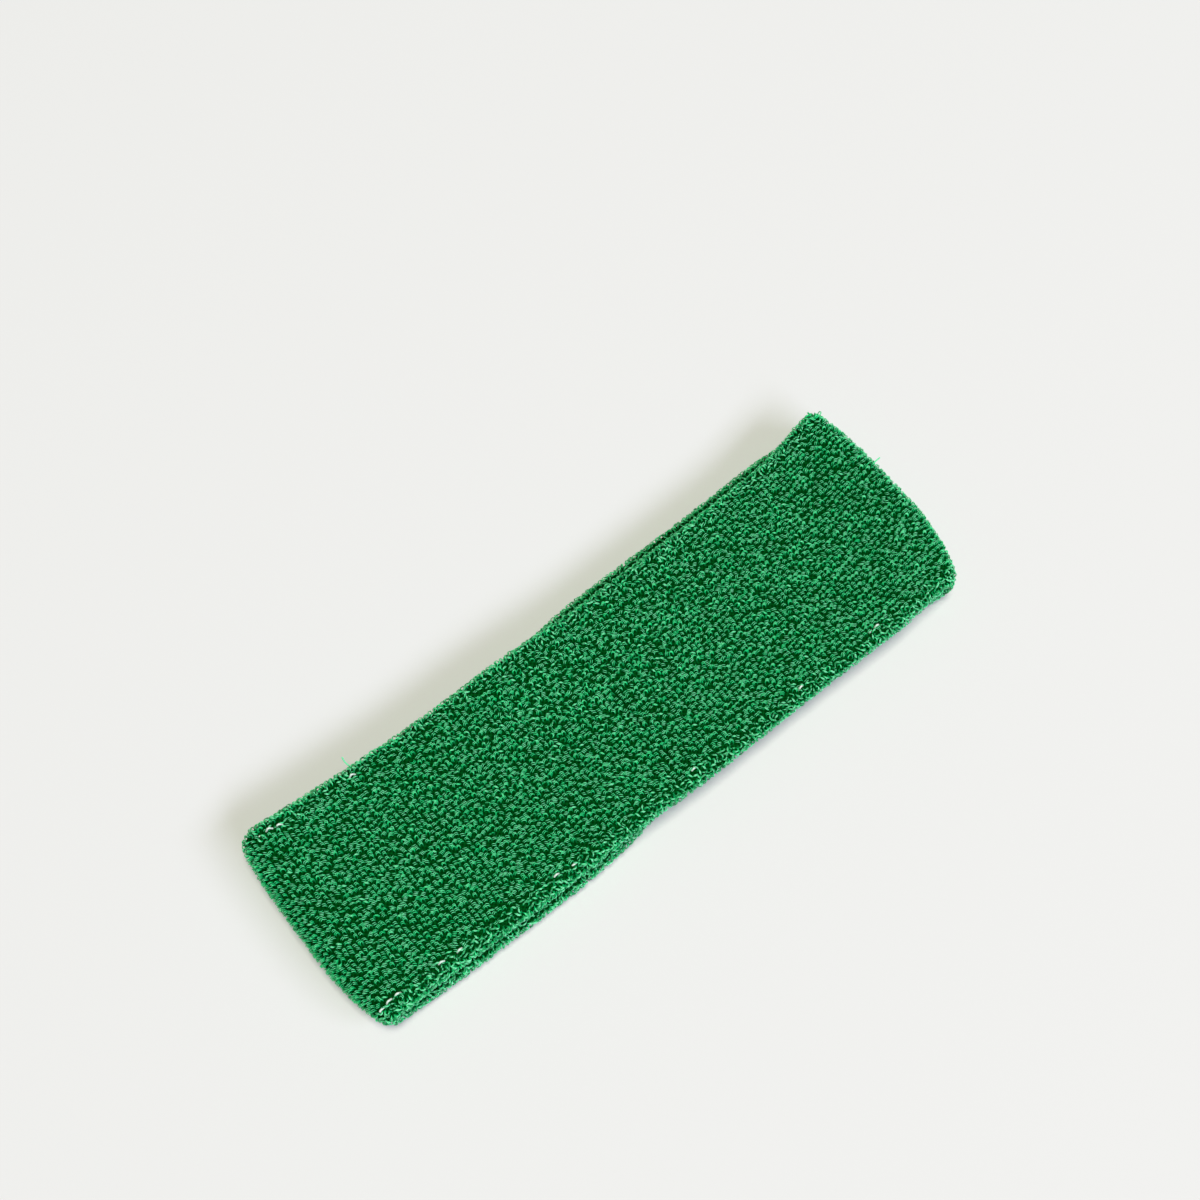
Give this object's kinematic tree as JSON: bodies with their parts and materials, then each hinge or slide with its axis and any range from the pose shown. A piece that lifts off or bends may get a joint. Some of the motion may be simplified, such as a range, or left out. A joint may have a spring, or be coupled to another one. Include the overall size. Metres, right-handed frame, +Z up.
{
  "type": "sweat headband",
  "caption": "Flat-lying ring of looped terry knit, two plies thick, lined by its own turned-in edges; it stretches open to go round a head.",
  "frame": {"origin": "on the resting surface, under the middle of the band", "axes": "+X along the flat band from fold to fold, +Y across it towards the edge worn at the crown, +Z up through the front panel"},
  "size_m": [0.19, 0.058, 0.015],
  "materials": {
    "terry_outer": "looped cotton terry knit, matt",
    "terry_lining": "looped cotton terry knit, matt",
    "linking_thread": "spun polyester thread, matt",
    "covered_rubber": "rubber core wrapped in white nylon, matt"
  },
  "bodies": {
    "back_panel": {"outer_layer_back": "terry_outer", "lining_flap_crown_back": "terry_lining", "lining_flap_brow_back": "terry_lining", "linking_seam_back": "linking_thread", "elastic_yarn_1_back": "covered_rubber", "elastic_yarn_2_back": "covered_rubber", "elastic_yarn_3_back": "covered_rubber", "elastic_yarn_4_back": "covered_rubber", "elastic_yarn_5_back": "covered_rubber", "elastic_yarn_6_back": "covered_rubber", "elastic_yarn_7_back": "covered_rubber", "elastic_yarn_8_back": "covered_rubber"},
    "folded_ends": {"outer_layer_left_fold": "terry_outer", "lining_flap_crown_left_fold": "terry_lining", "lining_flap_brow_left_fold": "terry_lining", "linking_seam_left_fold": "linking_thread", "elastic_yarn_1_left_fold": "covered_rubber", "elastic_yarn_2_left_fold": "covered_rubber", "elastic_yarn_3_left_fold": "covered_rubber", "elastic_yarn_4_left_fold": "covered_rubber", "elastic_yarn_5_left_fold": "covered_rubber", "elastic_yarn_6_left_fold": "covered_rubber", "elastic_yarn_7_left_fold": "covered_rubber", "elastic_yarn_8_left_fold": "covered_rubber", "outer_layer_right_fold": "terry_outer", "lining_flap_crown_right_fold": "terry_lining", "lining_flap_brow_right_fold": "terry_lining", "linking_seam_right_fold": "linking_thread", "elastic_yarn_1_right_fold": "covered_rubber", "elastic_yarn_2_right_fold": "covered_rubber", "elastic_yarn_3_right_fold": "covered_rubber", "elastic_yarn_4_right_fold": "covered_rubber", "elastic_yarn_5_right_fold": "covered_rubber", "elastic_yarn_6_right_fold": "covered_rubber", "elastic_yarn_7_right_fold": "covered_rubber", "elastic_yarn_8_right_fold": "covered_rubber"},
    "front_panel": {"outer_layer_front": "terry_outer", "lining_flap_crown_front": "terry_lining", "lining_flap_brow_front": "terry_lining", "linking_seam_front": "linking_thread", "elastic_yarn_1_front": "covered_rubber", "elastic_yarn_2_front": "covered_rubber", "elastic_yarn_3_front": "covered_rubber", "elastic_yarn_4_front": "covered_rubber", "elastic_yarn_5_front": "covered_rubber", "elastic_yarn_6_front": "covered_rubber", "elastic_yarn_7_front": "covered_rubber", "elastic_yarn_8_front": "covered_rubber"}
  },
  "joints": [
    {"name": "mouth_open", "type": "slide", "parent": "back_panel", "child": "folded_ends", "axis": [0, 0, 1], "range_m": [0, 0.03], "stiffness_N_per_m": 130},
    {"name": "front_panel_lift", "type": "slide", "parent": "folded_ends", "child": "front_panel", "axis": [0, 0, 1], "range_m": [0, 0.03], "stiffness_N_per_m": 130}
  ],
  "couplings": [
    {"joint": "front_panel_lift", "follows": "mouth_open", "ratio": 1}
  ]
}
